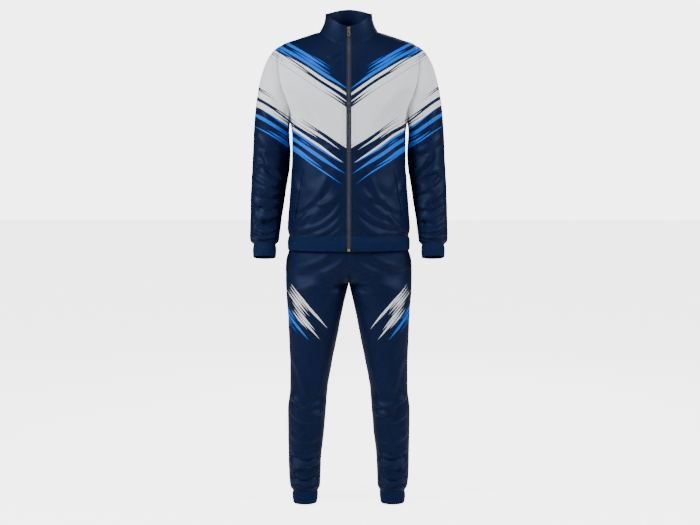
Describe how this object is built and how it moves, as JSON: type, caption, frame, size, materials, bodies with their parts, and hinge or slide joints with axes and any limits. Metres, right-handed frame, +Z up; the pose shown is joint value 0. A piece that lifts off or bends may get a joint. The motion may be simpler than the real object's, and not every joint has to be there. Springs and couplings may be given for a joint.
{
  "type": "tracksuit",
  "caption": "Tracksuit in its worn form: a zip jacket with a stand-up collar and ribbed bands, and trousers with ribbed ankle cuffs.",
  "frame": {"origin": "midway between the two points where the shoulders meet the neck, where a wearer's shoulders hold the jacket", "axes": "+Z up along the body, -Y towards the front, +X towards the wearer's left side"},
  "size_m": [0.6068, 0.2764, 1.542],
  "materials": {
    "shell_cloth": "smooth polyester tricot with a soft sheen",
    "rib_cloth": "fine rib knit",
    "zip_tape": "woven tape",
    "zip_coil": "moulded coil",
    "zip_metal": "antique nickel",
    "zip_brass": "dull brass"
  },
  "bodies": {
    "suit": {"ankle_cuff_left": "rib_cloth", "ankle_cuff_right": "rib_cloth", "collar": "shell_cloth", "cuff_left": "rib_cloth", "cuff_right": "rib_cloth", "front_left": "shell_cloth", "front_right": "shell_cloth", "hem_band": "rib_cloth", "jacket_back": "shell_cloth", "leg_back_left": "shell_cloth", "leg_back_right": "shell_cloth", "leg_front_left": "shell_cloth", "leg_front_right": "shell_cloth", "pocket_welt_left": "shell_cloth", "pocket_welt_right": "shell_cloth", "sleeve_left": "shell_cloth", "sleeve_right": "shell_cloth", "waistband": "rib_cloth", "yoke_left": "shell_cloth", "yoke_right": "shell_cloth", "zip_box": "zip_brass", "zip_chain": "zip_coil", "zip_slider": "zip_metal", "zip_tape_left": "zip_tape", "zip_tape_right": "zip_tape"},
    "pull": {"zip_pull_tab": "zip_metal"}
  },
  "joints": [
    {"name": "pull_tab_swing", "type": "hinge", "parent": "suit", "child": "pull", "pos_m": [0, -0.0836, -0.00601], "axis": [-1, 0, 0], "range_deg": [0, 150]}
  ]
}
